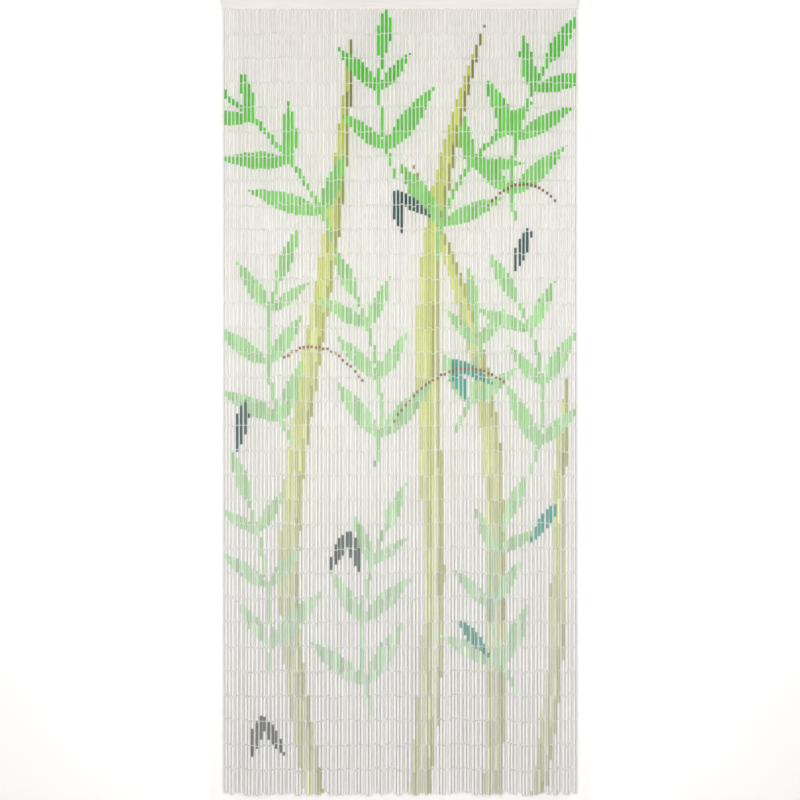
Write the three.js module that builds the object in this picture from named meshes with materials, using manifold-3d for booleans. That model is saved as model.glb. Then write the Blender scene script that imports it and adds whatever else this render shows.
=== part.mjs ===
// A bamboo door curtain: a white painted slat with ninety strands of bamboo tube beads hanging from it.
// Millimetres, +Z up. The origin is the middle of the slat's back face, the face that goes against a
// door frame. The front of the curtain faces -Y and the strands hang down along -Z.
import * as THREE from "three";
import { mergeVertices } from "three/addons/utils/BufferGeometryUtils.js";
import Module from "manifold-3d";

// Driving dimensions of the slat
const SLAT_LENGTH = 900;
const SLAT_HEIGHT = 25;
const SLAT_THICKNESS = 14;
const SLAT_EDGE_RADIUS = 2;
const EDGE_ARC_STEPS = 4;
const END_EASING_STEPS = 2;

// Driving dimensions of the strands: tube beads on wire links, one below the other
const STRAND_COUNT = 90;
const STRAND_PITCH = 9.92;
const STRAND_SIDES = 4;
const BEAD_DIAMETER = 7;
const BEADS_PER_STRAND = 32;
const BEAD_PITCH = 62;
const LINK_GAP = 4;
const LINK_WIRE = 1.6;
const HANG_STATIONS = 7;

// How unevenly the strands hang: lower down they draw together in small clumps, stray a little side to side
// and front to back, and end at slightly different heights
const CLUMP_SIZE = 2;
const CLUMP_SPACING = 8.1;
const LEAN_X = 0.2;
const LEAN_Y = 1.6;
const WANDER_X = 0.12;
const WANDER_Y = 0.7;
const WANDER_WAVES = 1.5;
const LENGTH_SPREAD = 9;

// The hanging strip that holds every strand by its top wire, let into the slat's underside
const GROOVE_WIDTH = 5;
const GROOVE_DEPTH = 6;
const GROOVE_LENGTH = 892;
const CLEARANCE = 0.3;

// Places worked out from the sizes
const SLAT_BOTTOM = -SLAT_HEIGHT / 2;
const STRAND_PLANE = -SLAT_THICKNESS / 2;
const STRAND_TOP = SLAT_BOTTOM - LINK_GAP;
const STRAND_LENGTH = BEADS_PER_STRAND * BEAD_PITCH - LINK_GAP;
const GROOVE_CEILING = SLAT_BOTTOM + GROOVE_DEPTH;

const wasm = await Module();
wasm.setup();

// A closed three.js geometry as a solid that can be joined and cut
function solidOf(geometry) {
  geometry.deleteAttribute("normal");
  geometry.deleteAttribute("uv");
  const merged = mergeVertices(geometry);
  const corners = Array.from(merged.index.array);
  const triVerts = [];
  for (let i = 0; i < corners.length; i += 3) {
    const [a, b, c] = corners.slice(i, i + 3);
    if (a !== b && b !== c && c !== a) triVerts.push(a, b, c);
  }
  return new wasm.Manifold(
    new wasm.Mesh({
      numProp: 3,
      vertProperties: merged.attributes.position.array,
      triVerts: new Uint32Array(triVerts),
    }),
  );
}

// A solid as a geometry for a mesh
function geometryOf(solid) {
  const { vertProperties, triVerts } = solid.getMesh();
  const geometry = new THREE.BufferGeometry();
  geometry.setAttribute("position", new THREE.BufferAttribute(vertProperties, 3));
  geometry.setIndex(new THREE.BufferAttribute(triVerts, 1));
  geometry.computeVertexNormals();
  return geometry;
}

// A box by its lower and upper corners
function boxBetween(low, high) {
  const size = high.map((value, axis) => value - low[axis]);
  const middle = high.map((value, axis) => (value + low[axis]) / 2);
  return new THREE.BoxGeometry(...size).translate(...middle);
}

// A number from -1 to 1 that is always the same for a strand and a kind of unevenness
const KIND = { leanX: 1, waveX: 2, leanY: 3, waveY: 4, length: 5, clump: 6 };
const HASH_STRAND = 12.9898;
const HASH_KIND = 78.233;
const HASH_SCALE = 43758.5453;
function uneven(strand, kind) {
  const value = Math.sin((strand + 1) * HASH_STRAND + kind * HASH_KIND) * HASH_SCALE;
  return 2 * (value - Math.floor(value)) - 1;
}

// How far each strand is drawn towards the middle of its clump at its lower end. Most clumps have CLUMP_SIZE
// strands, and some have one more or one less.
function clumpPulls() {
  const pulls = [];
  for (let clump = 0; pulls.length < STRAND_COUNT; clump += 1) {
    const size = CLUMP_SIZE + Math.round(uneven(clump, KIND.clump));
    for (let place = 0; place < size; place += 1) {
      pulls.push(((size - 1) / 2 - place) * (STRAND_PITCH - CLUMP_SPACING));
    }
  }
  return pulls;
}
const pulls = clumpPulls();

// How far a strand has strayed from the plumb line, at a share of its length from 0 at the top to 1
function strayAt(strand, share) {
  const waveX = Math.sin(2 * Math.PI * (WANDER_WAVES * share + uneven(strand, KIND.waveX)));
  const waveY = Math.sin(2 * Math.PI * (WANDER_WAVES * share + uneven(strand, KIND.waveY)));
  return {
    x: share * (pulls[strand] + LEAN_X * uneven(strand, KIND.leanX) + WANDER_X * waveX),
    y: share * (LEAN_Y * uneven(strand, KIND.leanY) + WANDER_Y * waveY),
  };
}

const strandX = (strand) => (strand - (STRAND_COUNT - 1) / 2) * STRAND_PITCH;
const strandLength = (strand) => STRAND_LENGTH + (LENGTH_SPREAD / 2) * uneven(strand, KIND.length);

// A rectangle about the origin with its four corners eased to an arc
function easedRectangle(width, height, radius) {
  const x = width / 2 - radius;
  const y = height / 2 - radius;
  const centres = [
    [x, -y],
    [x, y],
    [-x, y],
    [-x, -y],
  ];
  const outline = new THREE.Shape();
  centres.forEach(([centreX, centreY], quarter) => {
    const start = ((quarter - 1) * Math.PI) / 2;
    outline.absarc(centreX, centreY, radius, start, start + Math.PI / 2);
  });
  return outline.closePath();
}

// The slat: a batten with eased edges, its section in the YZ plane run along X, grooved below
function slatSolid() {
  const easing = SLAT_EDGE_RADIUS / 2;
  const section = easedRectangle(SLAT_THICKNESS, SLAT_HEIGHT, SLAT_EDGE_RADIUS);
  const batten = new THREE.ExtrudeGeometry(section, {
    depth: SLAT_LENGTH - 2 * easing,
    curveSegments: EDGE_ARC_STEPS,
    bevelThickness: easing,
    bevelSize: easing,
    bevelOffset: -easing,
    bevelSegments: END_EASING_STEPS,
  });
  batten.translate(0, 0, easing - SLAT_LENGTH / 2);
  batten.rotateX(Math.PI / 2).rotateZ(Math.PI / 2);
  batten.translate(0, STRAND_PLANE, 0);
  const groove = boxBetween(
    [-GROOVE_LENGTH / 2, STRAND_PLANE - GROOVE_WIDTH / 2, SLAT_BOTTOM - GROOVE_DEPTH],
    [GROOVE_LENGTH / 2, STRAND_PLANE + GROOVE_WIDTH / 2, GROOVE_CEILING],
  );
  return solidOf(batten).subtract(solidOf(groove));
}

// One strand: the wire that holds it in the strip, then its column of beads, hanging a little uneven
function strandSolid(strand) {
  const length = strandLength(strand);
  const bead = BEAD_DIAMETER / 2;
  const wire = LINK_WIRE / 2;
  const wireTop = SLAT_BOTTOM + GROOVE_DEPTH / 2;
  const profile = [new THREE.Vector2(0, STRAND_TOP - length)];
  for (let station = HANG_STATIONS; station >= 0; station -= 1) {
    profile.push(new THREE.Vector2(bead, STRAND_TOP - (length * station) / HANG_STATIONS));
  }
  profile.push(new THREE.Vector2(wire, STRAND_TOP + wire));
  profile.push(new THREE.Vector2(wire, wireTop));
  profile.push(new THREE.Vector2(0, wireTop));
  const column = new THREE.LatheGeometry(profile, STRAND_SIDES).rotateX(Math.PI / 2);
  const points = column.attributes.position;
  for (let i = 0; i < points.count; i += 1) {
    const share = Math.max(0, (STRAND_TOP - points.getZ(i)) / length);
    const stray = strayAt(strand, share);
    points.setX(i, points.getX(i) + strandX(strand) + stray.x);
    points.setY(i, points.getY(i) + STRAND_PLANE + stray.y);
  }
  return solidOf(column);
}

// All the strands, joined at their top wires by the hanging strip
function strandsSolid() {
  const strip = boxBetween(
    [
      -GROOVE_LENGTH / 2 + CLEARANCE,
      STRAND_PLANE - GROOVE_WIDTH / 2 + CLEARANCE,
      SLAT_BOTTOM,
    ],
    [
      GROOVE_LENGTH / 2 - CLEARANCE,
      STRAND_PLANE + GROOVE_WIDTH / 2 - CLEARANCE,
      GROOVE_CEILING - CLEARANCE,
    ],
  );
  let joined = solidOf(strip);
  for (let strand = 0; strand < STRAND_COUNT; strand += 1) {
    joined = joined.add(strandSolid(strand));
  }
  return joined;
}

const paintedWood = new THREE.MeshStandardMaterial({
  name: "slat_paint",
  color: 0xefebe5,
  roughness: 0.55,
  metalness: 0,
});
const paintedBamboo = new THREE.MeshStandardMaterial({
  name: "bead_paint",
  color: 0xe8e2d8,
  roughness: 0.5,
  metalness: 0,
});

function namedMesh(name, solid, material) {
  const mesh = new THREE.Mesh(geometryOf(solid), material);
  mesh.name = name;
  return mesh;
}

const curtain = new THREE.Group();
curtain.add(namedMesh("header_slat", slatSolid(), paintedWood));
curtain.add(namedMesh("bead_strands", strandsSolid(), paintedBamboo));

export default curtain;
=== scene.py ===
import itertools
import math

import bpy
import mathutils
import numpy as np
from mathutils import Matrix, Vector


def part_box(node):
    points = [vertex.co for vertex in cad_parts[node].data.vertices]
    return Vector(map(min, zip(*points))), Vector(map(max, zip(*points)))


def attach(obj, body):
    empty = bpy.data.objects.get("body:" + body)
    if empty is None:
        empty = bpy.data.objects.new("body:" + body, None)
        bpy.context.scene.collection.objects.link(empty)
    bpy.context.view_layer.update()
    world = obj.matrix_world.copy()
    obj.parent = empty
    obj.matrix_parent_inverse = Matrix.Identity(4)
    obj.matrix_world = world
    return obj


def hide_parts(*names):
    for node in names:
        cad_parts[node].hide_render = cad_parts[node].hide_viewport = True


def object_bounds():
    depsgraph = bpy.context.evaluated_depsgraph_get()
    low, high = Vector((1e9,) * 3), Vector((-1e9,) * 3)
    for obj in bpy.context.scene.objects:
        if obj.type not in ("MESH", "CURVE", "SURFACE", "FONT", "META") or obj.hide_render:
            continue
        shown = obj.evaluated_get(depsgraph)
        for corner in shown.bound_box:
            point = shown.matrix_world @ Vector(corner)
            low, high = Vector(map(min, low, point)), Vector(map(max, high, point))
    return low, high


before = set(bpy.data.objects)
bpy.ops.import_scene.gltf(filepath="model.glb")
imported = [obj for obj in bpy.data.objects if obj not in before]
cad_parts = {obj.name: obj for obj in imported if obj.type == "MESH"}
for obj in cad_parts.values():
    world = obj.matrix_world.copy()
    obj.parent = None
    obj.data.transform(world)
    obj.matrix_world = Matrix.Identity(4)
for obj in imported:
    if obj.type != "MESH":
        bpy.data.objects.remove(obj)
cad_low, cad_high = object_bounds()


# The header slat. A straight softwood batten with sanded edges, brush painted off-white so that its grain
# still shows a little. Its flat back goes against the door frame, and the wire of every strand is pinned
# into it from below.
slat_low, slat_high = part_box("header_slat")
SLAT_EDGE = 0.002
SLAT_EDGE_STEPS = 5
SLAT_END_EASING = 0.001
# How far in from an end and how far drawn in, as shares of the easing
SLAT_END_STEPS = ((0.0, 1.0), (0.35, 0.35), (1.0, 0.0))
SLAT_STATIONS = 24
SLAT_WAVER = 0.00025
SLAT_WAVER_RATE = 9.0
SLAT_PAINT = (233, 229, 222)
SLAT_PINE = (214, 186, 142)
SLAT_WEAR = 0.12
# Fibres to a metre along each axis
SLAT_GRAIN = (14.0, 420.0, 420.0)
SLAT_RELIEF = 0.35
GRAIN_DEPTH = 0.0002
SMOOTH_UNDER = math.radians(40)


def slat_outline(inset):
    """The slat's section drawn in by inset, as points (y, z) from below round by front, top and back."""
    near, far = slat_low.y + SLAT_EDGE, slat_high.y - SLAT_EDGE
    under, over = slat_low.z + SLAT_EDGE, slat_high.z - SLAT_EDGE
    corners = [(near, under), (near, over), (far, over), (far, under)]
    radius = SLAT_EDGE - inset
    outline = []
    for quarter, (y, z) in enumerate(corners):
        for step in range(SLAT_EDGE_STEPS + 1):
            turn = -math.pi / 2 * (1 + quarter + step / SLAT_EDGE_STEPS)
            outline.append((y + radius * math.cos(turn), z + radius * math.sin(turn)))
    return np.array(outline)


def slat_rings():
    """Rings of points along the slat, eased at both ends and a hair uneven, as if sanded by hand."""
    ends = []
    for along, inset in SLAT_END_STEPS:
        ends.append((slat_low.x + along * SLAT_END_EASING, inset * SLAT_END_EASING))
    middle = np.linspace(slat_low.x, slat_high.x, SLAT_STATIONS + 2)[1:-1]
    stations = ends + [(x, 0.0) for x in middle] + [(-x, inset) for x, inset in reversed(ends)]
    rings = []
    for x, inset in stations:
        section = slat_outline(inset)
        share = (x - slat_low.x) / (slat_high.x - slat_low.x)
        waver = SLAT_WAVER * math.sin(SLAT_WAVER_RATE * x) * math.sin(math.pi * share)
        rings.append(np.column_stack([np.full(len(section), x), section[:, 0], section[:, 1] + waver]))
    return np.array(rings)


def ring_faces(ring_owner, sides):
    """Quads between rings that follow each other in one thing, and the faces that close its two ends."""
    ring = np.arange(len(ring_owner))
    side = np.arange(sides)
    beside = (side + 1) % sides
    same = ring_owner[:-1] == ring_owner[1:]
    upper = ring[:-1][same][:, None] * sides
    quads = np.stack([upper + side, upper + sides + side, upper + sides + beside, upper + beside], axis=-1)
    first = ring[np.append(True, ~same)][:, None] * sides + side
    last = ring[np.append(~same, True)][:, None] * sides + side[::-1]
    return quads.reshape(-1, 4), np.concatenate([first, last])


def joined_piece(name, points, face_groups, smooth_under):
    """One object from arrays of points and of faces, smooth where faces meet under the angle given."""
    corners = np.concatenate([group.ravel() for group in face_groups])
    sizes = np.concatenate([np.full(len(group), group.shape[1]) for group in face_groups])
    mesh = bpy.data.meshes.new(name)
    mesh.vertices.add(len(points))
    mesh.vertices.foreach_set("co", points.astype(np.float32).ravel())
    mesh.loops.add(len(corners))
    mesh.loops.foreach_set("vertex_index", corners.astype(np.int32))
    mesh.polygons.add(len(sizes))
    mesh.polygons.foreach_set("loop_start", (np.cumsum(sizes) - sizes).astype(np.int32))
    mesh.update(calc_edges=True)
    mesh.set_sharp_from_angle(angle=smooth_under)
    piece = bpy.data.objects.new(name, mesh)
    bpy.context.scene.collection.objects.link(piece)
    return piece


def linear(colour):
    """A colour given as 0 to 255 on screen, as the light that it stands for by the sRGB curve."""
    share = np.asarray(colour, float) / 255
    return np.where(share <= 0.04045, share / 12.92, ((share + 0.055) / 1.055) ** 2.4)


def socket_colour(colour):
    """A colour given as 0 to 255 on screen, as a colour socket takes it."""
    return (*linear(colour), 1.0)


# Sockets of a Mix node that mixes colours
MIX_SHARE, MIX_FIRST, MIX_SECOND, MIX_RESULT = 0, 6, 7, 2


def add_node(tree, kind, inputs, **settings):
    """A new node. Each input is set to a value, or linked where the value is another node's output."""
    made = tree.nodes.new(kind)
    for name, value in settings.items():
        setattr(made, name, value)
    for name, value in inputs.items():
        if isinstance(value, bpy.types.NodeSocket):
            tree.links.new(value, made.inputs[name])
        else:
            made.inputs[name].default_value = value
    return made


def new_group(name, given, put_out):
    """A node group with named inputs and outputs. Returns it with what comes in through the inputs."""
    group = bpy.data.node_groups.new(name, "ShaderNodeTree")
    for in_out, sockets in (("INPUT", given), ("OUTPUT", put_out)):
        for socket, kind in sockets.items():
            group.interface.new_socket(name=socket, in_out=in_out, socket_type="NodeSocket" + kind)
    return group, group.nodes.new("NodeGroupInput").outputs


def paint_over_grain():
    """Thin paint on wood or bamboo: fibres show through as tone and relief, and wear lays some bare."""
    group, taken = new_group(
        "paint_over_grain",
        {"Paint": "Color", "Bare": "Color", "Fibres": "Vector", "Wear": "Float"},
        {"Color": "Color", "Roughness": "Float", "Height": "Float"},
    )
    fibre = add_node(group, "ShaderNodeTexNoise", {
        "Vector": taken["Fibres"], "Scale": 1.0, "Detail": 4.0, "Roughness": 0.62,
    })
    coat = add_node(group, "ShaderNodeTexNoise", {
        "Vector": taken["Fibres"], "Scale": 0.16, "Detail": 2.0, "Roughness": 0.5,
    })
    pores = add_node(group, "ShaderNodeMapRange", {
        "Value": fibre.outputs[0], "From Min": 0.3, "From Max": 0.68, "To Min": 0.9, "To Max": 1.02,
    })
    cover = add_node(group, "ShaderNodeMapRange", {
        "Value": coat.outputs[0], "From Min": 0.3, "From Max": 0.7, "To Min": 0.96, "To Max": 1.03,
    })
    tone = add_node(group, "ShaderNodeMath", {
        0: pores.outputs[0], 1: cover.outputs[0],
    }, operation="MULTIPLY")
    painted = add_node(group, "ShaderNodeMix", {
        MIX_SHARE: 1.0, MIX_FIRST: taken["Paint"], MIX_SECOND: tone.outputs[0],
    }, data_type="RGBA", blend_type="MULTIPLY")
    ragged = add_node(group, "ShaderNodeMath", {0: fibre.outputs[0], 1: taken["Wear"]}, operation="ADD")
    worn = add_node(group, "ShaderNodeMapRange", {
        "Value": ragged.outputs[0], "From Min": 0.95, "From Max": 1.2, "To Min": 0.0, "To Max": 0.85,
    })
    shown = add_node(group, "ShaderNodeMix", {
        MIX_SHARE: worn.outputs[0], MIX_FIRST: painted.outputs[MIX_RESULT], MIX_SECOND: taken["Bare"],
    }, data_type="RGBA")
    sheen = add_node(group, "ShaderNodeMapRange", {
        "Value": coat.outputs[0], "From Min": 0.3, "From Max": 0.7, "To Min": 0.42, "To Max": 0.58,
    })
    add_node(group, "NodeGroupOutput", {
        "Color": shown.outputs[MIX_RESULT], "Roughness": sheen.outputs[0], "Height": fibre.outputs[0],
    })
    return group


paint_group = paint_over_grain()


def painted_material(name, grain, bare, relief):
    """A material that shows paint over grain. Returns it with its node of the paint group."""
    material = bpy.data.materials.new(name)
    material.use_nodes = True
    tree = material.node_tree
    place = add_node(tree, "ShaderNodeTexCoord", {})
    along = add_node(tree, "ShaderNodeMapping", {"Vector": place.outputs["Object"], "Scale": grain})
    coat = add_node(tree, "ShaderNodeGroup", {
        "Bare": socket_colour(bare), "Fibres": along.outputs[0],
    }, node_tree=paint_group)
    bump = add_node(tree, "ShaderNodeBump", {
        "Strength": relief, "Distance": GRAIN_DEPTH, "Height": coat.outputs["Height"],
    })
    surface = tree.nodes["Principled BSDF"]
    tree.links.new(coat.outputs["Color"], surface.inputs["Base Color"])
    tree.links.new(coat.outputs["Roughness"], surface.inputs["Roughness"])
    tree.links.new(bump.outputs[0], surface.inputs["Normal"])
    return material, coat


def hang_on_root(piece, node):
    """The piece moves with the curtain's one body and stands in for a solid, which is hidden."""
    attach(piece, "root")
    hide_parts(node)


slat_points = slat_rings()
slat_sides = slat_points.shape[1]
slat_faces = ring_faces(np.zeros(len(slat_points), int), slat_sides)
slat = joined_piece("painted_slat", slat_points.reshape(-1, 3), slat_faces, SMOOTH_UNDER)
slat_paint, slat_coat = painted_material("slat_paint", SLAT_GRAIN, SLAT_PINE, SLAT_RELIEF)
slat_coat.inputs["Paint"].default_value = socket_colour(SLAT_PAINT)
slat_coat.inputs["Wear"].default_value = SLAT_WEAR
slat.data.materials.append(slat_paint)
hang_on_root(slat, "header_slat")


# The hang of the strands. Each strand starts plumb below the slat, and lower down strays a little: strands
# draw together in small clumps, lean to the front or back, and end at slightly different heights.
STRANDS = 90
STRAND_PITCH = 0.00992
BEADS = 32
BEAD_PITCH = 0.062
LINK_GAP = 0.0024
TOP_GAP = 0.0012
CLUMP_SIZE = 2
CLUMP_SPACING = 0.0081
LEAN_X, LEAN_Y = 0.0002, 0.0016
WANDER_X, WANDER_Y = 0.00012, 0.0007
WANDER_WAVES = 1.5
LENGTH_SPREAD = 0.009
HASH_STRAND, HASH_KIND, HASH_SCALE = 12.9898, 78.233, 43758.5453
KIND = {"lean_x": 1, "wave_x": 2, "lean_y": 3, "wave_y": 4, "length": 5, "clump": 6}

strand = np.arange(STRANDS)
strand_x = (strand - (STRANDS - 1) / 2) * STRAND_PITCH
strand_y = (slat_low.y + slat_high.y) / 2
strand_top = slat_low.z - TOP_GAP


def uneven(number, kind):
    """A number from -1 to 1 that is always the same for a strand and a kind of unevenness."""
    value = np.sin((number + 1) * HASH_STRAND + KIND[kind] * HASH_KIND) * HASH_SCALE
    return 2 * (value - np.floor(value)) - 1


def clump_pulls():
    """How far each strand is drawn towards the middle of its clump at its lower end."""
    pulls = []
    clump = 0
    while len(pulls) < STRANDS:
        size = CLUMP_SIZE + round(float(uneven(clump, "clump")))
        pulls += [((size - 1) / 2 - place) * (STRAND_PITCH - CLUMP_SPACING) for place in range(size)]
        clump += 1
    return np.array(pulls[:STRANDS])


strand_pull = clump_pulls()
strand_length = BEADS * BEAD_PITCH - TOP_GAP + LENGTH_SPREAD / 2 * uneven(strand, "length")


def hang(which, z):
    """The x and y of strands at heights z, as far as they have strayed there."""
    share = np.clip((strand_top - z) / strand_length[which], 0, 1)
    wave_x = np.sin(2 * np.pi * (WANDER_WAVES * share + uneven(which, "wave_x")))
    wave_y = np.sin(2 * np.pi * (WANDER_WAVES * share + uneven(which, "wave_y")))
    aside = strand_pull[which] + LEAN_X * uneven(which, "lean_x") + WANDER_X * wave_x
    ahead = LEAN_Y * uneven(which, "lean_y") + WANDER_Y * wave_y
    return strand_x[which] + share * aside, strand_y + share * ahead


# The painted design. Reed blades and sprigs of paired leaves, fresh green above and paler below, with a few
# dark leaves and dotted stalks. It is painted across the strands as they lie side by side, so that every
# strand carries its own upright bars.
CHANCE_SEED = 90
PAINT_STEP = 0.001
PAINT_SLIP = 0.0022
FADE_DEPTHS = (0.12, 0.70, 1.60)
# Colours near the slat, half way down and near the floor
TONES = {
    "leaf": ((62, 187, 14), (150, 209, 130), (194, 219, 188)),
    "blade": ((174, 190, 26), (203, 211, 114), (208, 213, 180)),
    "blade edge": ((122, 122, 30), (170, 174, 84), (190, 194, 160)),
    "dark leaf": ((22, 60, 66), (46, 88, 88), (112, 116, 112)),
    "teal leaf": ((40, 140, 110), (58, 156, 134), (104, 162, 150)),
    "stalk": ((100, 52, 24), (140, 96, 72), (164, 144, 132)),
}
TONE_NAMES = list(TONES)
BARE = -1
BLADE_FOOT = -2.0
BLADE_EDGE = 0.012
# Powers of the height: how late a blade narrows, how bluntly it ends, and how late it leans to its tip
BLADE_NARROWS, BLADE_ENDS, BLADE_LEANS = 5, 0.8, 1.3
BLADES = (
    {"foot": -0.215, "tip": (-0.120, -0.070), "bow": -0.070, "wave": -0.030, "width": 0.050},
    {"foot": 0.050, "tip": (0.215, -0.050), "bow": -0.045, "wave": 0.040, "width": 0.056},
    {"foot": 0.235, "tip": (0.030, -0.400), "bow": 0.085, "wave": -0.020, "width": 0.048},
    {"foot": 0.350, "tip": (0.425, -0.930), "bow": 0.020, "wave": 0.010, "width": 0.038},
)
LEAF_SLENDER = 0.24
LEAF_BELLY = 0.8
LEAF_ANGLE = 42
LEAF_LESSENS = 0.30
ANGLE_UNEVEN = 9
LEAF_UNEVEN = 0.16
TIP_LEAF = 0.8
TWIG_STEPS = 40
TWIG_WIDTH = 0.0096
TWIG_OVERLAP = 0.75
# Where a sprig starts, where it heads in degrees from upright, how far it turns, and its pairs of leaves
SPRIGS = (
    {"start": (-0.170, -0.590), "heading": -22, "turn": -30, "length": 0.440, "pairs": 3, "leaf": 0.200},
    {"start": (-0.010, -0.440), "heading": -20, "turn": 26, "length": 0.300, "pairs": 2, "leaf": 0.190},
    {"start": (0.090, -0.640), "heading": 6, "turn": 40, "length": 0.330, "pairs": 2, "leaf": 0.190},
    {"start": (0.290, -0.540), "heading": -8, "turn": 40, "length": 0.400, "pairs": 3, "leaf": 0.200},
    {"start": (-0.270, -1.110), "heading": -30, "turn": 50, "length": 0.420, "pairs": 3, "leaf": 0.185},
    {"start": (-0.060, -1.160), "heading": 10, "turn": -34, "length": 0.420, "pairs": 3, "leaf": 0.185},
    {"start": (0.330, -1.180), "heading": 20, "turn": -50, "length": 0.440, "pairs": 3, "leaf": 0.185},
    {"start": (0.140, -1.080), "heading": 30, "turn": -40, "length": 0.300, "pairs": 2, "leaf": 0.165},
    {"start": (-0.330, -1.690), "heading": 4, "turn": -22, "length": 0.430, "pairs": 3, "leaf": 0.180},
    {"start": (-0.070, -1.790), "heading": -16, "turn": 40, "length": 0.460, "pairs": 3, "leaf": 0.180},
    {"start": (0.290, -1.730), "heading": -30, "turn": 54, "length": 0.430, "pairs": 3, "leaf": 0.180},
)
# Single leaves that droop
FALLEN_LEAVES = (
    {"start": (-0.020, -0.470), "headings": (125, 165), "leaf": 0.125, "tone": "dark leaf"},
    {"start": (0.330, -0.560), "headings": (200,), "leaf": 0.135, "tone": "dark leaf"},
    {"start": (-0.390, -1.000), "headings": (190,), "leaf": 0.140, "tone": "dark leaf"},
    {"start": (0.130, -0.900), "headings": (120, 160), "leaf": 0.125, "tone": "teal leaf"},
    {"start": (0.400, -1.260), "headings": (215,), "leaf": 0.130, "tone": "teal leaf"},
    {"start": (-0.130, -1.330), "headings": (205, 165), "leaf": 0.120, "tone": "dark leaf"},
    {"start": (-0.350, -1.800), "headings": (150, 195), "leaf": 0.120, "tone": "dark leaf"},
    {"start": (0.150, -1.560), "headings": (140,), "leaf": 0.125, "tone": "teal leaf"},
)
STALK_DOT = 0.0035
STALKS = (
    {"start": (0.215, -0.520), "end": (0.395, -0.500), "rise": 0.055},
    {"start": (-0.020, -1.060), "end": (0.270, -0.960), "rise": 0.080},
    {"start": (-0.300, -0.900), "end": (-0.090, -0.960), "rise": 0.060},
)

chance = np.random.default_rng(CHANCE_SEED)
paint_depth = np.arange(0, strand_length.max() + PAINT_STEP, PAINT_STEP)
paint_x, paint_z = np.meshgrid(strand_x, strand_top - paint_depth, indexing="ij")
paint_z = paint_z + chance.uniform(-PAINT_SLIP, PAINT_SLIP, (STRANDS, 1))
painted = np.full(paint_x.shape, BARE)


def lay_paint(where, tone):
    """A colour of the design, laid over whatever is there already."""
    painted[where] = TONE_NAMES.index(tone)


def paint_leaf(start, heading, length, tone):
    """An almond-shaped leaf that points the way of its heading."""
    angle = math.radians(heading)
    off_x, off_z = paint_x - start[0], paint_z - start[1]
    along = (off_x * math.sin(angle) + off_z * math.cos(angle)) / length
    across = np.abs(off_x * math.cos(angle) - off_z * math.sin(angle))
    half_width = LEAF_SLENDER * length / 2 * np.sin(np.pi * np.clip(along, 0, 1) ** LEAF_BELLY)
    lay_paint((along > 0) & (along < 1) & (across < half_width), tone)


def paint_blade(foot, tip, bow, wave, width):
    """A reed blade that sways up from the floor and narrows to its tip, darker along one edge."""
    up = (paint_z - BLADE_FOOT) / (tip[1] - BLADE_FOOT)
    share = np.clip(up, 0, 1)
    sway = bow * np.sin(np.pi * share) + wave * np.sin(2 * np.pi * share)
    half_width = width / 2 * (1 - share ** BLADE_NARROWS) ** BLADE_ENDS
    off = paint_x - foot - (tip[0] - foot) * share ** BLADE_LEANS - sway
    inside = (up > 0) & (up < 1) & (np.abs(off) < half_width)
    lay_paint(inside, "blade")
    lay_paint(inside & (off > half_width - BLADE_EDGE), "blade edge")


def twig_places(start, heading, turn, length):
    """Places along a twig that turns evenly as it grows, each as x, z and heading."""
    x, z = start
    places = []
    for step in range(TWIG_STEPS + 1):
        angle = math.radians(heading + turn * step / TWIG_STEPS)
        places.append((x, z, math.degrees(angle)))
        x += math.sin(angle) * length / TWIG_STEPS
        z += math.cos(angle) * length / TWIG_STEPS
    return places


def paint_sprig(start, heading, turn, length, pairs, leaf):
    """A twig with paired leaves that lessen upwards, and one leaf at its tip."""
    places = twig_places(start, heading, turn, length)
    reach = TWIG_OVERLAP * length / TWIG_STEPS
    for x, z, _ in places:
        lay_paint((np.abs(paint_x - x) < TWIG_WIDTH / 2) & (np.abs(paint_z - z) < reach), "leaf")
    for pair in range(pairs):
        share = (pair + 0.5) / pairs
        x, z, way = places[int(share * TWIG_STEPS)]
        for side in (-LEAF_ANGLE, LEAF_ANGLE):
            turned = way + side + chance.uniform(-ANGLE_UNEVEN, ANGLE_UNEVEN)
            size = leaf * (1 - LEAF_LESSENS * share) * (1 + chance.uniform(-LEAF_UNEVEN, LEAF_UNEVEN))
            paint_leaf((x, z), turned, size, "leaf")
    x, z, way = places[-1]
    paint_leaf((x, z), way, leaf * TIP_LEAF, "leaf")


def arched(share):
    """How far an arched line stands off a straight one: nothing at both ends and 1 in the middle."""
    return 4 * share * (1 - share)


def paint_stalk(start, end, rise):
    """An arching stalk, one dot to a strand."""
    share = (paint_x - start[0]) / (end[0] - start[0])
    line = start[1] + (end[1] - start[1]) * share + rise * arched(share)
    lay_paint((share > 0) & (share < 1) & (np.abs(paint_z - line) < STALK_DOT), "stalk")


for row in BLADES:
    paint_blade(**row)
for row in SPRIGS:
    paint_sprig(**row)
for row in FALLEN_LEAVES:
    for heading in row["headings"]:
        paint_leaf(row["start"], heading, row["leaf"], row["tone"])
for row in STALKS:
    paint_stalk(**row)


def tone_at(tone, depth):
    """A design colour as it has faded at a depth below the slat."""
    rows = np.array(TONES[TONE_NAMES[tone]], float)
    return np.array([np.interp(depth, FADE_DEPTHS, rows[:, channel]) for channel in range(3)])


# The tube beads. Thin bamboo sawn into short tubes with the edges tumbled round, dipped in off-white paint
# and threaded on wire. No two are quite as long, thick or straight, and their sawn ends show bare bamboo.
BEAD_RADIUS = 0.0032
BEAD_SIDES = 10
BEAD_UNEVEN = 0.0007
# Height and span in strands of the waves that the rows of joints follow
ROW_WAVES = ((0.0006, 7.3), (0.0007, 13.1), (0.0009, 29.0))
THICKNESS_UNEVEN = 0.02
THICKNESS_LIMITS = (-0.07, 0.04)
OVAL = 0.025
BEND = 0.0001
PLAY = 0.00005
BORE_RADIUS = 0.0014
BORE_DEPTH = 0.004
SHOULDER = 0.0005
NEAR_END = 0.0012
STRANDS_PER_PIECE = 15
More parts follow.
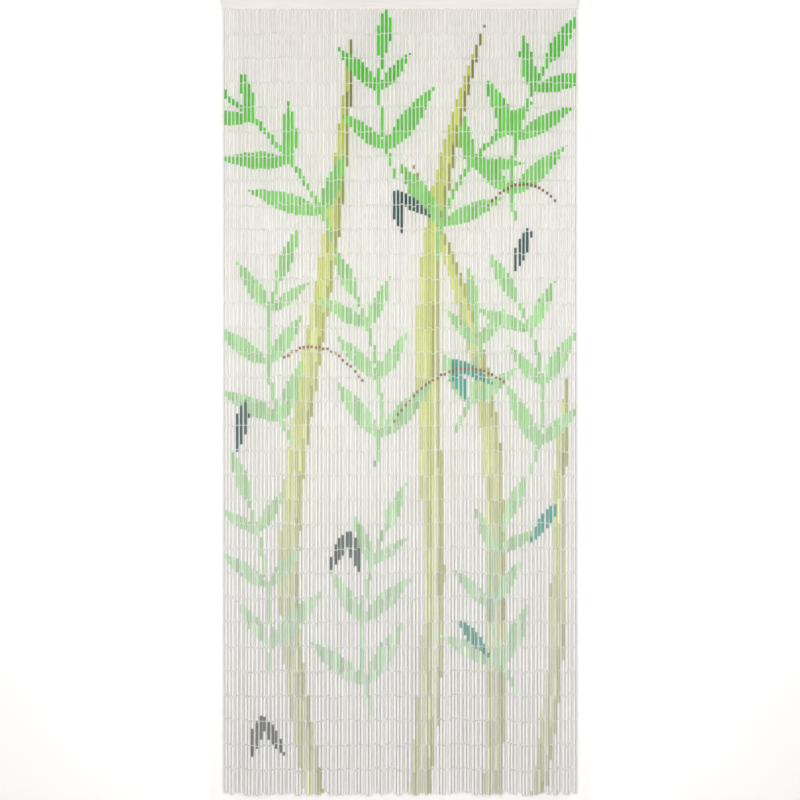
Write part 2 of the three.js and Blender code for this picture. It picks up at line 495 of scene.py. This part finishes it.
# Bare paint near the slat and near the floor
BEAD_PAINT = ((233.5, 229.5, 224.5), (233.0, 233.0, 229.5))
BEAD_TINTS = ((0, 0, 0), (2, 0, -1), (0, 0, -3), (-2, -2, -2), (1, 2, 2))
TINT_UNEVEN = 1.5
DESIGN_UNEVEN = 0.045
SAWN_END = (228, 222, 211)
# The insides of the bores: painted shade, darker than bare bamboo, standing in for the dark of the holes
BORE_PAINTED_SHADE = (172, 156, 130)
BAMBOO = (218, 204, 176)
BEAD_GRAIN = (900.0, 900.0, 26.0)
BEAD_RELIEF = 0.3
END_WEAR, BODY_WEAR = 0.5, 0.2
END_WEAR_REACH = 0.001
MAP_COLUMNS, MAP_ROWS = 24, 20
MAP_MARGIN = 0.06
MAP_DISC = 0.3

# Lengths of the beads on every strand, drawn so that the joints run across the curtain in loose, wavy rows
row_wave = np.zeros((STRANDS, BEADS + 1))
for size, span in ROW_WAVES:
    row_wave += size * np.sin(2 * np.pi * strand[:, None] / span + chance.uniform(0, 2 * np.pi, BEADS + 1))
bead_length = BEAD_PITCH - LINK_GAP + chance.normal(0, BEAD_UNEVEN, (STRANDS, BEADS))
bead_length += np.diff(row_wave, axis=1)
wanted = strand_length - (BEADS - 1) * LINK_GAP
bead_length *= (wanted / bead_length.sum(axis=1))[:, None]
bead_top = strand_top - np.cumsum(bead_length + LINK_GAP, axis=1) + bead_length + LINK_GAP
bead_end = bead_top - bead_length
bead_thicker = np.clip(chance.normal(0, THICKNESS_UNEVEN, (STRANDS, BEADS)), *THICKNESS_LIMITS)
bead_radius = BEAD_RADIUS * (1 + bead_thicker)
bead_tint = np.array(BEAD_TINTS)[chance.integers(0, len(BEAD_TINTS), (STRANDS, BEADS))]
bare_paint = np.linspace(*BEAD_PAINT, BEADS)
bead_colour = bare_paint + bead_tint + chance.normal(0, TINT_UNEVEN, (STRANDS, BEADS, 1))
design_shift = 1 + chance.normal(0, DESIGN_UNEVEN, (STRANDS, BEADS))


def place_ends(z):
    """Where the ends of all beads are at heights z, with the play that the wire leaves them."""
    x, y = hang(strand[:, None], z)
    return np.stack([x, y, z], axis=-1) + chance.uniform(-PLAY, PLAY, z.shape + (3,)) * (1, 1, 0)


bead_upper = place_ends(bead_top)
bead_lower = place_ends(bead_end)
bead_bend = chance.uniform(-BEND, BEND, (STRANDS, BEADS, 2))
bead_turn = chance.uniform(0, np.pi, (STRANDS, BEADS))
bead_angle = 2 * np.pi * np.arange(BEAD_SIDES) / BEAD_SIDES


def paint_cuts(which, number):
    """Distances below a bead's top at which its paint changes colour, clear of its two ends."""
    first = strand_top - bead_top[which, number]
    last = first + bead_length[which, number]
    low, high = np.searchsorted(paint_depth, [first + NEAR_END, last - NEAR_END])
    changes = np.nonzero(np.diff(painted[which][low:high]))[0] + low + 1
    return paint_depth[changes] - first


def band_colour(which, number, distance):
    """The paint on a bead at a distance below its top."""
    depth = strand_top - bead_top[which, number] + distance
    tone = painted[which][min(int(depth / PAINT_STEP), len(paint_depth) - 1)]
    if tone == BARE:
        return bead_colour[which, number]
    return tone_at(tone, depth) * design_shift[which, number]


def bead_profile(which, number):
    """A bead's rings as distances below its top and radii, from one bore over the outside into the other,
    and the colour of each band between them."""
    length, radius = bead_length[which, number], bead_radius[which, number]
    end_distance = np.array([BORE_DEPTH, 0, 0, SHOULDER])
    end_radius = np.array([BORE_RADIUS, BORE_RADIUS, radius - SHOULDER, radius])
    body = np.sort(np.append(paint_cuts(which, number), length / 2))
    distance = np.concatenate([end_distance, body, length - end_distance[::-1]])
    radii = np.concatenate([end_radius, np.full(len(body), radius), end_radius[::-1]])
    between_shoulders = distance[3:-3]
    band_middles = (between_shoulders[:-1] + between_shoulders[1:]) / 2
    skin = [band_colour(which, number, at) for at in (0, *band_middles, length)]
    # The band inside each bore is painted shade, and the sawn end keeps its own paint
    ends = [np.array(BORE_PAINTED_SHADE, float), np.array(SAWN_END, float)]
    return distance, radii, np.array(ends + skin + ends[::-1])


def bead_rings(which, number, distance, radii):
    """The points of a bead's rings, which follow its bend and are a little oval."""
    share = distance / bead_length[which, number]
    upper, lower = bead_upper[which, number], bead_lower[which, number]
    centre = upper + (lower - upper) * share[:, None]
    centre[:, :2] += bead_bend[which, number] * arched(share)[:, None]
    oval = 1 + OVAL * np.cos(2 * (bead_angle - bead_turn[which, number]))
    ring = np.repeat(centre[:, None, :], BEAD_SIDES, axis=1)
    ring[..., 0] += radii[:, None] * oval * np.cos(bead_angle)
    ring[..., 1] += radii[:, None] * oval * np.sin(bead_angle)
    return ring.reshape(-1, 3)


def paint_faces(mesh, bands, end_count):
    """The colour of every face: each band's all round its bead, then the floors of the bores in painted
    shade.
    """
    all_round = np.repeat(linear(np.clip(bands, 0, 255)), BEAD_SIDES, axis=0)
    floors = np.tile(linear(BORE_PAINTED_SHADE), (end_count, 1))
    faces = np.concatenate([all_round, floors])
    colours = np.column_stack([faces, np.ones(len(faces))])
    paint = mesh.attributes.new("paint", "FLOAT_COLOR", "FACE")
    paint.data.foreach_set("color", colours.astype(np.float32).ravel())


def bead_map(owner, ring_run):
    """Places on a flat map for every corner of the beads' faces: each bead is unrolled in its own cell."""
    cell = np.array([1 / MAP_COLUMNS, 1 / MAP_ROWS])
    corner = np.stack([owner % MAP_COLUMNS, owner // MAP_COLUMNS], axis=-1) * cell
    same = owner[:-1] == owner[1:]
    upper = np.nonzero(same)[0]
    side = np.arange(BEAD_SIDES)
    around = np.stack([side, side, side + 1, side + 1], axis=-1) / BEAD_SIDES
    down = np.stack([ring_run[upper], ring_run[upper + 1], ring_run[upper + 1], ring_run[upper]], axis=-1)
    quads = np.empty((len(upper), BEAD_SIDES, 4, 2))
    quads[..., 0] = MAP_MARGIN + around * (1 - 2 * MAP_MARGIN)
    quads[..., 1] = MAP_MARGIN + down[:, None, :] * (1 - 2 * MAP_MARGIN)
    quads = quads * cell + corner[upper][:, None, None, :]
    disc = MAP_DISC * MAP_MARGIN * np.stack([np.cos(bead_angle), np.sin(bead_angle)], axis=-1)
    first = corner[np.append(True, ~same)][:, None, :] + (disc + (0.5, 0.5 * MAP_MARGIN)) * cell
    last = corner[np.append(~same, True)][:, None, :] + (disc[::-1] + (0.5, 1 - 0.5 * MAP_MARGIN)) * cell
    return np.concatenate([part.reshape(-1, 2) for part in (quads, first, last)])


def bead_piece(name, strands):
    """The joined beads of some neighbouring strands, with their paint and their places on the flat map."""
    points, owner, end_gap, ring_run, colours = [], [], [], [], []
    for count, (which, number) in enumerate(itertools.product(strands, range(BEADS))):
        distance, radii, bands = bead_profile(which, number)
        near_end = np.minimum(distance, bead_length[which, number] - distance)
        run = np.append(0, np.cumsum(np.hypot(np.diff(distance), np.diff(radii))))
        points.append(bead_rings(which, number, distance, radii))
        owner.append(np.full(len(distance), count))
        end_gap.append(np.repeat(near_end, BEAD_SIDES))
        ring_run.append(run / run[-1])
        colours.append(bands)
    owner = np.concatenate(owner)
    quads, ends = ring_faces(owner, BEAD_SIDES)
    piece = joined_piece(name, np.concatenate(points), (quads, ends), SMOOTH_UNDER)
    mesh = piece.data
    paint_faces(mesh, np.concatenate(colours), len(ends))
    gap = mesh.attributes.new("end_gap", "FLOAT", "POINT")
    gap.data.foreach_set("value", np.concatenate(end_gap).astype(np.float32))
    flat_map = mesh.uv_layers.new(name="OFBake")
    map_places = bead_map(owner, np.concatenate(ring_run))
    flat_map.data.foreach_set("uv", map_places.astype(np.float32).ravel())
    return piece


def bead_material():
    """Off-white or design paint from the beads' own colours, painted shade in the bores, worn to bamboo
    round the sawn ends.
    """
    material, coat = painted_material("bead_paint", BEAD_GRAIN, BAMBOO, BEAD_RELIEF)
    tree = material.node_tree
    paint = add_node(tree, "ShaderNodeAttribute", {}, attribute_name="paint")
    gap = add_node(tree, "ShaderNodeAttribute", {}, attribute_name="end_gap")
    wear = add_node(tree, "ShaderNodeMapRange", {
        "Value": gap.outputs["Fac"], "From Min": 0.0, "From Max": END_WEAR_REACH,
        "To Min": END_WEAR, "To Max": BODY_WEAR,
    })
    tree.links.new(paint.outputs["Color"], coat.inputs["Paint"])
    tree.links.new(wear.outputs[0], coat.inputs["Wear"])
    return material


bead_paint = bead_material()
for number, first in enumerate(range(0, STRANDS, STRANDS_PER_PIECE), start=1):
    beads = bead_piece(f"tube_beads_{number}", range(first, first + STRANDS_PER_PIECE))
    beads.data.materials.append(bead_paint)
    hang_on_root(beads, "bead_strands")


# The wire eyes. A dull galvanised wire runs through each tube and is bent to an eye at both ends. Every eye
# hooks into the next bead's, turned a quarter, and the topmost one into an eye pinned into the slat.
WIRE_RADIUS = 0.00038
WIRE_SIDES = 4
EYE_REACH = LINK_GAP / 2 + WIRE_RADIUS
EYE_UNEVEN = 0.3
EYES_PER_PIECE = 30
WIRE_GREY = (226, 224, 218)
WIRE_DULL = (190, 187, 180)
WIRE_METAL = 0.4
WIRE_GLOSS = (0.3, 0.6)
WIRE_BLOOM = 420.0
# One eye from its hidden leg in the bore round to the other: how far to the side and how far out, both in
# eye reaches
EYE_LINE = np.array([
    (-0.25, -2.3), (-0.28, 0.0), (-0.56, 0.36), (-0.44, 0.80), (0.0, 1.0),
    (0.44, 0.80), (0.56, 0.36), (0.28, 0.0), (0.25, -2.3),
])


def eye_rings(root, turn, way):
    """Rings of wire points for eyes at their roots, turned about the strand and pointing along way."""
    to_side = np.stack([np.cos(turn), np.sin(turn), np.zeros_like(turn)], axis=-1)
    out = np.array([0.0, 0.0, way])
    line = root[:, None, :] + EYE_REACH * (
        EYE_LINE[:, 0, None] * to_side[:, None, :] + EYE_LINE[:, 1, None] * out
    )
    flow = np.gradient(EYE_LINE, axis=0)
    flow /= np.linalg.norm(flow, axis=1)[:, None]
    in_plane = -flow[:, 1, None] * to_side[:, None, :] + flow[:, 0, None] * out
    across = np.cross(to_side, out)
    angle = way * 2 * np.pi * (np.arange(WIRE_SIDES) + 0.5) / WIRE_SIDES
    ring = line[:, :, None, :] + WIRE_RADIUS * (
        np.cos(angle)[:, None] * in_plane[:, :, None, :]
        + np.sin(angle)[:, None] * way * across[:, None, None, :]
    )
    return ring.reshape(-1, WIRE_SIDES, 3)


def eye_piece(name, strands):
    """The joined eyes of some neighbouring strands."""
    rows = np.array(list(strands))
    pins_x, pins_y = hang(rows, np.full(len(rows), strand_top))
    pins = np.stack([pins_x, pins_y, np.full(len(rows), strand_top + LINK_GAP)], axis=-1)
    below = np.concatenate([pins[:, None, :], bead_lower[rows]], axis=1).reshape(-1, 3)
    above = bead_upper[rows].reshape(-1, 3)
    turn = chance.uniform(-EYE_UNEVEN, EYE_UNEVEN, (len(rows), BEADS + 1))
    turn += np.pi / 4
    quarter = (turn[:, :-1] + np.pi / 2).ravel()
    rings = np.concatenate([eye_rings(below, turn.ravel(), -1.0), eye_rings(above, quarter, 1.0)])
    owner = np.repeat(np.arange(len(rings) // len(EYE_LINE)), len(EYE_LINE))
    return joined_piece(name, rings.reshape(-1, 3), ring_faces(owner, WIRE_SIDES), math.pi)


def wire_material():
    """Galvanised wire, bright in places and dulled in others."""
    material = bpy.data.materials.new("link_wire")
    material.use_nodes = True
    tree = material.node_tree
    place = add_node(tree, "ShaderNodeTexCoord", {})
    bloom = add_node(tree, "ShaderNodeTexNoise", {
        "Vector": place.outputs["Object"], "Scale": WIRE_BLOOM, "Detail": 3.0,
    })
    colour = add_node(tree, "ShaderNodeMix", {
        MIX_SHARE: bloom.outputs[0],
        MIX_FIRST: socket_colour(WIRE_GREY),
        MIX_SECOND: socket_colour(WIRE_DULL),
    }, data_type="RGBA")
    gloss = add_node(tree, "ShaderNodeMapRange", {
        "Value": bloom.outputs[0], "To Min": WIRE_GLOSS[0], "To Max": WIRE_GLOSS[1],
    })
    surface = tree.nodes["Principled BSDF"]
    surface.inputs["Metallic"].default_value = WIRE_METAL
    tree.links.new(colour.outputs[MIX_RESULT], surface.inputs["Base Color"])
    tree.links.new(gloss.outputs[0], surface.inputs["Roughness"])
    return material


link_wire = wire_material()
for number, first in enumerate(range(0, STRANDS, EYES_PER_PIECE), start=1):
    eyes = eye_piece(f"wire_eyes_{number}", range(first, first + EYES_PER_PIECE))
    eyes.data.materials.append(link_wire)
    hang_on_root(eyes, "bead_strands")


# The studio. A plain pale floor and a white wall close behind the strands, both thinning out to white all
# round. Only a camera in front sees the wall, so that the gaps show soft shade while light still reaches
# the back.
FLOOR_DROP = 0.022
FLOOR_HALF = 4.0
FLOOR_PALE = (206, 205, 203)
FLOOR_GLOW = 0.40
WALL_DISTANCE = 0.03
WALL_HALF = 2.0
WALL_TOP = 0.4
WALL_WHITE = (254, 252, 252)
WALL_GLOW = 0.0
# The axes along which each thins out, and how far from the middle it starts and ends
FLOOR_AXES, FLOOR_THINS = (1.0, 1.0, 0.0), (1.0, 3.8)
WALL_AXES, WALL_THINS = (1.0, 0.0, 0.0), (1.15, 1.95)


def thin_out():
    """Full cover out to where it starts to thin, then less and less to nothing where it ends."""
    group, taken = new_group(
        "thin_out", {"Spread": "Vector", "Starts": "Float", "Ends": "Float"}, {"Cover": "Float"},
    )
    away = add_node(group, "ShaderNodeVectorMath", {0: taken["Spread"]}, operation="LENGTH")
    cover = add_node(group, "ShaderNodeMapRange", {
        "Value": away.outputs["Value"], "From Min": taken["Starts"], "From Max": taken["Ends"],
        "To Min": 1.0, "To Max": 0.0,
    }, interpolation_type="SMOOTHSTEP")
    add_node(group, "NodeGroupOutput", {"Cover": cover.outputs[0]})
    return group


thin_group = thin_out()


def studio_material(name, colour, axes, thins, glow):
    """A matt colour that thins out along the axes, is clear from behind, and may glow to the camera."""
    material = bpy.data.materials.new(name)
    material.use_nodes = True
    tree = material.node_tree
    place = add_node(tree, "ShaderNodeTexCoord", {})
    spread = add_node(tree, "ShaderNodeVectorMath", {
        0: place.outputs["Object"], 1: axes,
    }, operation="MULTIPLY")
    thin = add_node(tree, "ShaderNodeGroup", {
        "Spread": spread.outputs[0], "Starts": thins[0], "Ends": thins[1],
    }, node_tree=thin_group)
    side = add_node(tree, "ShaderNodeNewGeometry", {})
    front = add_node(tree, "ShaderNodeMath", {0: 1.0, 1: side.outputs["Backfacing"]}, operation="SUBTRACT")
    shown = add_node(tree, "ShaderNodeMath", {
        0: thin.outputs["Cover"], 1: front.outputs[0],
    }, operation="MULTIPLY")
    path = add_node(tree, "ShaderNodeLightPath", {})
    surface = tree.nodes["Principled BSDF"]
    surface.inputs["Base Color"].default_value = socket_colour(colour)
    surface.inputs["Roughness"].default_value = 1.0
    surface.inputs["Specular IOR Level"].default_value = 0.0
    surface.inputs["Emission Strength"].default_value = glow
    tree.links.new(path.outputs["Is Camera Ray"], surface.inputs["Emission Color"])
    tree.links.new(shown.outputs[0], surface.inputs["Alpha"])
    return material


def stage_plane(name, points, material):
    """A flat piece of the studio, which is no part of the curtain."""
    mesh = bpy.data.meshes.new(name)
    mesh.from_pydata(points, [], [(0, 1, 2, 3)])
    mesh.materials.append(material)
    plane = bpy.data.objects.new(name, mesh)
    bpy.context.scene.collection.objects.link(plane)
    return plane


floor_z = cad_low.z - FLOOR_DROP
floor_corners = ((-1, -1), (1, -1), (1, 1), (-1, 1))
floor_points = [(x * FLOOR_HALF, y * FLOOR_HALF, floor_z) for x, y in floor_corners]
floor_pale = studio_material("floor_pale", FLOOR_PALE, FLOOR_AXES, FLOOR_THINS, FLOOR_GLOW)
stage_plane("floor", floor_points, floor_pale)
wall_corners = ((-WALL_HALF, floor_z), (WALL_HALF, floor_z), (WALL_HALF, WALL_TOP), (-WALL_HALF, WALL_TOP))
wall_points = [(x, WALL_DISTANCE, z) for x, z in wall_corners]
wall_white = studio_material("wall_white", WALL_WHITE, WALL_AXES, WALL_THINS, WALL_GLOW)
wall = stage_plane("wall", wall_points, wall_white)
wall.visible_diffuse = False
wall.visible_glossy = False
wall.visible_transmission = False
wall.visible_shadow = False


# The light. One soft lamp low in front, two weaker ones high at the sides, one overhead for the slat's top,
# and two behind, the stronger for the upper half of the back, all under an even white sky. So the stripes
# of the strands show softly above and plainly below.
SKY_WHITE = (1.0, 1.0, 1.0, 1.0)
SKY_LIGHT = 0.17
SKY_SEEN = 1.0
LAMPS = (
    {"name": "front_lamp", "place": (0.0, -3.2, -1.5), "height_lit": -1.0, "size": 1.0, "power": 73.0},
    {"name": "left_lamp", "place": (-1.7, -1.7, 0.1), "height_lit": -1.0, "size": 1.0, "power": 15.5},
    {"name": "right_lamp", "place": (1.7, -1.7, 0.1), "height_lit": -1.0, "size": 1.0, "power": 15.5},
    {"name": "top_lamp", "place": (0.0, 0.0, 1.4), "height_lit": 0.0, "size": 0.8, "power": 9.0},
    {"name": "back_lamp", "place": (0.0, 0.9, -0.5), "height_lit": -0.4, "size": 1.2, "power": 12.0},
    {"name": "low_back_lamp", "place": (0.0, 1.6, -1.3), "height_lit": -1.3, "size": 1.0, "power": 2.0},
)


def soft_lamp(name, place, height_lit, size, power):
    """A square lamp that faces the curtain's middle line at a height."""
    lamp = bpy.data.lights.new(name, "AREA")
    lamp.size = size
    lamp.energy = power
    holder = bpy.data.objects.new(name, lamp)
    bpy.context.scene.collection.objects.link(holder)
    holder.visible_camera = False
    holder.location = place
    ahead = mathutils.Vector((0.0, strand_y, height_lit)) - holder.location
    holder.rotation_euler = ahead.to_track_quat("-Z", "Y").to_euler()


def white_sky():
    """Even light from all round, plain white where the camera sees it."""
    sky = bpy.data.worlds.new("white_sky")
    sky.use_nodes = True
    tree = sky.node_tree
    tree.nodes.clear()
    path = add_node(tree, "ShaderNodeLightPath", {})
    lighting = add_node(tree, "ShaderNodeBackground", {"Color": SKY_WHITE, "Strength": SKY_LIGHT})
    seen = add_node(tree, "ShaderNodeBackground", {"Color": SKY_WHITE, "Strength": SKY_SEEN})
    either = add_node(tree, "ShaderNodeMixShader", {
        0: path.outputs["Is Camera Ray"], 1: lighting.outputs[0], 2: seen.outputs[0],
    })
    add_node(tree, "ShaderNodeOutputWorld", {"Surface": either.outputs[0]})
    return sky


for row in LAMPS:
    soft_lamp(**row)
bpy.context.scene.world = white_sky()
bpy.context.scene.view_settings.view_transform = "Standard"


# The camera. It looks straight at the front through a long lens, and the picture's upper edge cuts the
# slat, as in the photograph.
PICTURE_PIXELS = 800
SLAT_WIDTH_PIXELS = 356
SLAT_LOWER_EDGE_PIXEL = 8.8
CAMERA_DISTANCE = 10.0
CAMERA_REACH = 200.0
SENSOR = 0.036
MILLIMETRES = 1000
pixel = (slat_high.x - slat_low.x) / SLAT_WIDTH_PIXELS
picture_middle = slat_low.z - (PICTURE_PIXELS / 2 - SLAT_LOWER_EDGE_PIXEL) * pixel
lens = SENSOR * (CAMERA_DISTANCE + slat_low.y) / (PICTURE_PIXELS * pixel)

camera_data = bpy.data.cameras.new("camera")
camera_data.sensor_width = SENSOR * MILLIMETRES
camera_data.lens = lens * MILLIMETRES
camera_data.clip_end = CAMERA_REACH
camera = bpy.data.objects.new("camera", camera_data)
bpy.context.scene.collection.objects.link(camera)
camera.location = (0.0, -CAMERA_DISTANCE, picture_middle)
camera.rotation_euler = (math.pi / 2, 0.0, 0.0)
bpy.context.scene.camera = camera
